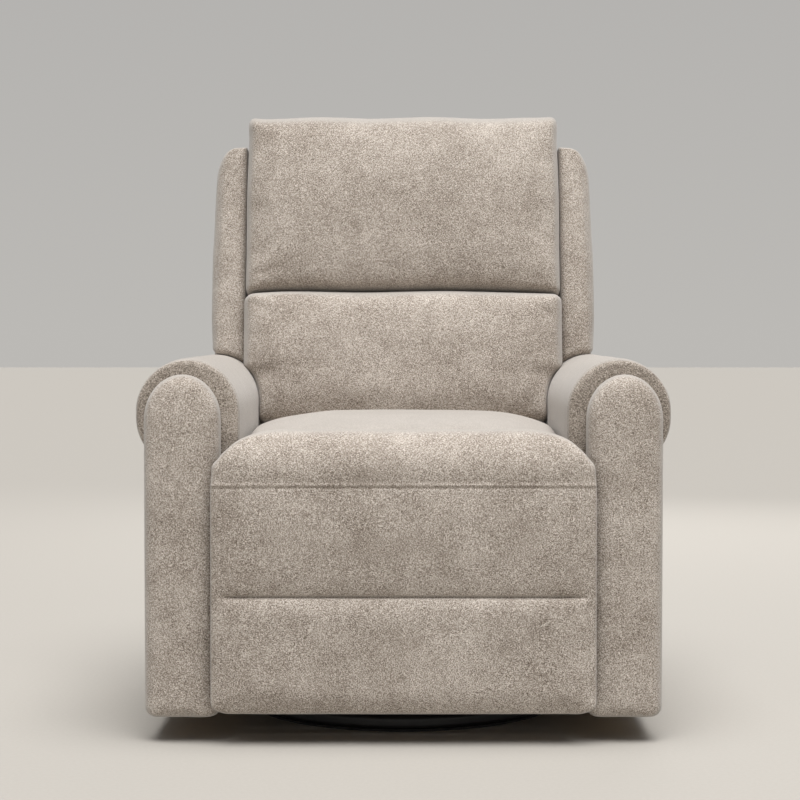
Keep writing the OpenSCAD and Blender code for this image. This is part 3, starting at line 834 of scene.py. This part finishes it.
def build_arm_pad(side, node):
    """The arm's upholstery: a padded shell over the roll and down the outer side."""
    thick, thick_side = 17, 13   # over the roll and down the outer side
    outer = arm_profile()
    centre = np.array([roll_x, roll_z])
    inner = outer.copy()
    on_roll = outer[:, 1] >= crease_z - 3
    inner[on_roll] = centre + (outer[on_roll] - centre) * (roll_r - thick) / roll_r
    inner[~on_roll, 0] -= thick_side
    low_inner = (outer[:, 0] < roll_x) & (outer[:, 1] < roll_z)
    inner[low_inner] = outer[low_inner] + np.array([thick, 0])
    ring = np.concatenate([outer, inner[::-1]])
    stations = np.linspace(pad_low[1] + 0.3, pad_high[1] - rear_facing - 0.3, 69)
    size = len(ring)
    rims = [np.column_stack([ring[:, 0], np.full(size, y), ring[:, 1]]) for y in stations]
    points = np.concatenate(rims)
    faces = tube_faces(len(stations), size)
    for first in (0, (len(stations) - 1) * size):
        last = first + size - 1
        for j in range(len(outer) - 1):
            faces.append((first + j, first + j + 1, last - 1 - j, last - j))
    skin = np.tile(np.arange(size) < len(outer), len(stations))
    x, y, z = points.T
    away = np.column_stack([x - roll_x, np.zeros(len(x)), np.maximum(z - roll_z, 0)])
    away /= np.maximum(np.linalg.norm(away, axis=1, keepdims=True), 1e-9)
    ends = smooth(y, pad_low[1], pad_low[1] + 50) * (1 - smooth(y, pad_high[1] - 60, pad_high[1]))
    lumps = 1.0 * ripple(points, 110, 16 + side) + 0.3 * ripple(points, 45, 18 + side)
    points = points + away * ((lumps + 1.5) * ends * skin * (z > 470))[:, None]
    slack = skin * (z < 440) * (x > roll_x) * ends
    points[:, 0] += slack * (2.0 * ripple(points, 120, 20 + side) + 1.5)
    points[:, 0] *= side
    return cushion(node + "_cover", points, faces, "seat", [node])


def dished(outline, low_spine, high_spine, profile, side):
    """A padded face in the XZ plane, made of rings of the outline.
    Each ring is at its own depth, and drawn in by its own share towards an upright spine."""
    rings = []
    for share, y in profile:
        z = np.clip(outline[:, 1], low_spine[1], high_spine[1])
        x = np.full(len(outline), float(low_spine[0]))
        spine = np.column_stack([x, z])
        ring = spine + (outline - spine) * share
        rings.append(np.column_stack([ring[:, 0] * side, np.full(len(ring), y), ring[:, 1]]))
    return np.concatenate(rings), tube_faces(len(rings), len(outline))


def full_outline(step):
    """The closed outline of the arm's end."""
    over = over_roll(step)
    inner, outer, bottom = in_x + 0.3, side_x - 1, low_z + 1
    corner = 8                   # cut off at the two lower corners
    return np.concatenate([
        walk([(outer, over[-1][1] - 8), (outer, low_z + corner), (outer - corner, bottom)], step)[:-1],
        walk([(outer - corner, bottom), (inner + corner, bottom)], step)[:-1],
        walk([(inner + corner, bottom), (inner, low_z + corner), (in_x, roll_z)], step)[:-1],
        over,
    ])


def edge_profile(back, front, edge, crown, half, backing, pocket=0):
    """(share, depth) rings for a padded face of half width `half`.
    It has a back, an edge rounded by `edge`, and a crown in the middle. A pocket is a hollow that deep in
    the back, which takes a board."""
    towards = -1 if front < back else 1
    board = 1 - 12 / half
    profile = [(0.0, back + towards * pocket), (board, back + towards * pocket), (board, back)]
    profile += [(1 - 3 / half, back), (1.0, back + towards * backing)]
    straight = front - towards * (crown + edge)
    profile.append((1.0, straight))
    for turn in np.radians((18, 36, 54, 72, 90)):
        share = 1 - edge * (1 - math.cos(turn)) / half
        profile.append((share, straight + towards * edge * math.sin(turn)))
    last = profile[-1][0]
    for k in (0.85, 0.65, 0.45, 0.25, 0.1, 0.0):
        share = last * k
        profile.append((share, front - towards * crown * k**2))
    return profile


def build_facing(side, name, back, front, nodes):
    outline = full_outline(7)
    profile = edge_profile(back, front, edge=9, crown=1.5, half=roll_r, backing=1)
    points, faces = dished(outline, (roll_x, low_z + 60), (roll_x, roll_z), profile, side)
    towards = -1 if front < back else 1
    points[:, 1] += towards * 0.8 * ripple(points, 50, 22 + side) * (np.abs(points[:, 1] - back) > 4)
    # the arm's end face takes the darker copy of the chenille: painted shade
    made = piece(name, points, faces, painted_shade_band_chenille, "seat", nodes)
    return made


def build_arm_return(side, name):
    """The strip of fabric turned in over the arm board's inner face, behind the apron."""
    low = np.array([in_x - 1.4, apron_high[1] - 3, low_z + 1])
    high = np.array([in_x - 0.2, pad_high[1] - 10, inner_edge])
    q, quads = lattice((-1, 1), cuts(low[1], high[1], 5), cuts(low[2], high[2], 20))
    p = between(q, low, high)
    p[:, 0] *= side
    return cushion(name, p, quads, "seat", [])


def build_post(side, node):
    """The padded upright in front of the arm: an oval arch at the top and rounded lower corners."""
    half = (post_high[0] - post_low[0]) / 2
    middle = (post_high[0] + post_low[0]) / 2
    low, high = post_low[2] - 1, post_high[2]
    rise = 72                    # height of the arch
    corner = 15
    step = 7
    outline = np.concatenate([
        walk([(middle + half, high - rise), (middle + half, low + corner)], step)[:-1],
        arc((middle + half - corner, low + corner), (corner, corner), 0, -90, step)[:-1],
        walk([(middle + half - corner, low), (middle - half + corner, low)], step)[:-1],
        arc((middle - half + corner, low + corner), (corner, corner), -90, -180, step)[:-1],
        walk([(middle - half, low + corner), (middle - half, high - rise)], step)[:-1],
        arc((middle, high - rise), (half, rise), 180, 0, step)[:-1],
    ])
    back, front = post_high[1], post_low[1] - 3
    profile = edge_profile(back, front, edge=24, crown=5, half=half, backing=4, pocket=9.8)
    points, faces = dished(outline, (middle, low + 18), (middle, high - rise), profile, side)
    face = smooth(-points[:, 1], -post_high[1] + 16, -post_low[1])
    points[:, 1] -= (1.4 * ripple(points, 80, 24 + side) + 0.6 * ripple(points, 36, 26 + side)) * face
    on_board = points[:, 1] > post_high[1] - 12
    return cushion(node + "_cover", points, faces, "seat", [node], swell=3, stay=on_board)


def cut_handle_hole(pad):
    """Opens the left arm's side for the release handle's cup."""
    low, high = cad("handle_cup")
    rim = 8.6                    # width of the cup's flange that covers the hole's edge
    y0, y1 = low[1] + rim, high[1] - rim
    z0, z1 = low[2] + rim, high[2] - rim
    r = (z1 - z0) / 2
    outline = []
    for centre, start in ((y1 - r, -90), (y0 + r, 90)):
        for turn in np.radians(np.linspace(start, start + 180, 17)):
            outline.append((centre + r * math.cos(turn), z0 + r + r * math.sin(turn)))
    size = len(outline)
    points = [(x, y, z) for x in (-side_x - 30, -side_x + 40) for y, z in outline]
    faces = [tuple(range(size)), tuple(range(size, 2 * size))]
    faces += [(i, (i + 1) % size, size + (i + 1) % size, size + i) for i in range(size)]
    cutter = piece("cutter", points, faces, chenille, "seat")
    cut = pad.modifiers.new("hole", "BOOLEAN")
    cut.object = cutter
    cut.solver = "EXACT"
    graph = bpy.context.evaluated_depsgraph_get()
    done = bpy.data.meshes.new_from_object(pad.evaluated_get(graph))
    pad.modifiers.clear()
    pad.data = done
    bpy.data.objects.remove(cutter)


# ---------- build ----------

soft = [
    build_head_cushion(),
    build_lumbar_cushion(),
    build_wing(-1, "wing_left"),
    build_wing(1, "wing_right"),
    build_wing_lining(-1, "wing_left_lining"),
    build_wing_lining(1, "wing_right_lining"),
    build_back_panel(),
    build_back_cap(),
    build_back_flap(),
    build_back_side(-1, "back_side_left"),
    build_back_side(1, "back_side_right"),
    build_seat_cushion(),
    build_rear_apron(),
    build_footrest_pad(),
    build_post(-1, "arm_post_left"),
    build_post(1, "arm_post_right"),
]
facing_back = facing_high[1] - 0.1
for side, word in ((-1, "left"), (1, "right")):
    soft.append(build_facing(side, "arm_front_" + word, facing_back, facing_low[1], ["arm_facings"]))
    soft.append(build_facing(side, "arm_rear_" + word, pad_high[1] - rear_facing, pad_high[1], []))
    soft.append(build_arm_return(side, "arm_return_" + word))
arm_pads = [build_arm_pad(-1, "arm_pad_left"), build_arm_pad(1, "arm_pad_right")]
stuff_all()
fit_between_arms(bpy.data.objects["lumbar_cushion_cover"])
sew_footrest(bpy.data.objects["footrest_pad_cover"])
cut_handle_hole(arm_pads[0])
for made in soft:
    subdivide(made)


# ---------- floor, light and camera ----------

def build_floor():
    half = 30
    corners = [(-half, -half, 0), (half, -half, 0), (half, half, 0), (-half, half, 0)]
    mesh = bpy.data.meshes.new("floor")
    mesh.from_pydata(corners, [], [(0, 1, 2, 3)])
    n = Nodes("floor_paint")
    fine = n.noise(160, 2, 0.5)
    colour = n.ramp(fine, [(0.3, (0.385, 0.365, 0.335)), (0.7, (0.40, 0.38, 0.35))])
    mesh.materials.append(n.finish(colour, 0.8, Specular_IOR_Level=0.2))
    floor = bpy.data.objects.new("floor", mesh)
    scene.collection.objects.link(floor)


def area_light(name, place, target, size, power, colour):
    data = bpy.data.lights.new(name, "AREA")
    data.shape = "RECTANGLE"
    data.size, data.size_y = size
    data.energy = power
    data.color = colour
    light = bpy.data.objects.new(name, data)
    light.location = place
    light.rotation_euler = (Vector(target) - Vector(place)).to_track_quat("-Z", "Y").to_euler()
    scene.collection.objects.link(light)


build_floor()
area_light("front", (0.1, -1.7, 2.5), (0, 0.1, 0.8), (2.4, 1.2), 15, (1.0, 0.99, 0.98))
area_light("rear", (0.8, 3.4, 2.0), (0, 0, 0.5), (2.4, 1.8), 30, (1.0, 0.98, 0.96))

sun = bpy.data.objects.new("window", bpy.data.lights.new("window", "SUN"))
sun.data.energy = 4.2
sun.data.angle = math.radians(50)
sun.data.color = (1.0, 0.99, 0.98)
sun.rotation_euler = (math.radians(12), math.radians(3), 0)
scene.collection.objects.link(sun)


def build_world():
    """A plain room: a pale band round the horizon, darker walls over it, and a soft light ceiling."""
    world = bpy.data.worlds.new("room")
    world.use_nodes = True
    tree = world.node_tree
    place = tree.nodes.new("ShaderNodeTexCoord")
    split_place = tree.nodes.new("ShaderNodeSeparateXYZ")
    ramp = tree.nodes.new("ShaderNodeValToRGB")
    bands = (
        (0.0, (0.50, 0.487, 0.465)),
        (0.17, (0.46, 0.45, 0.435)),
        (0.30, (0.15, 0.147, 0.142)),
        (1.0, (0.35, 0.35, 0.35)),
    )
    elements = ramp.color_ramp.elements
    while len(elements) < len(bands):
        elements.new(0.5)
    for element, (position, colour) in zip(elements, bands):
        element.position = position
        element.color = (*colour, 1)
    tree.links.new(place.outputs["Generated"], split_place.inputs["Vector"])
    tree.links.new(split_place.outputs["Z"], ramp.inputs["Fac"])
    tree.links.new(ramp.outputs["Color"], tree.nodes["Background"].inputs["Color"])
    return world


scene.world = build_world()
scene.view_settings.view_transform = "Standard"

camera = bpy.data.objects.new("camera", bpy.data.cameras.new("camera"))
camera.data.sensor_width = 36
camera.data.lens = 86.4
camera.location = (-0.0055, -3.352, 0.651)
camera.rotation_euler = (math.radians(90 - 2.09), 0, 0)
scene.collection.objects.link(camera)
scene.camera = camera

bpy.context.view_layer.update()
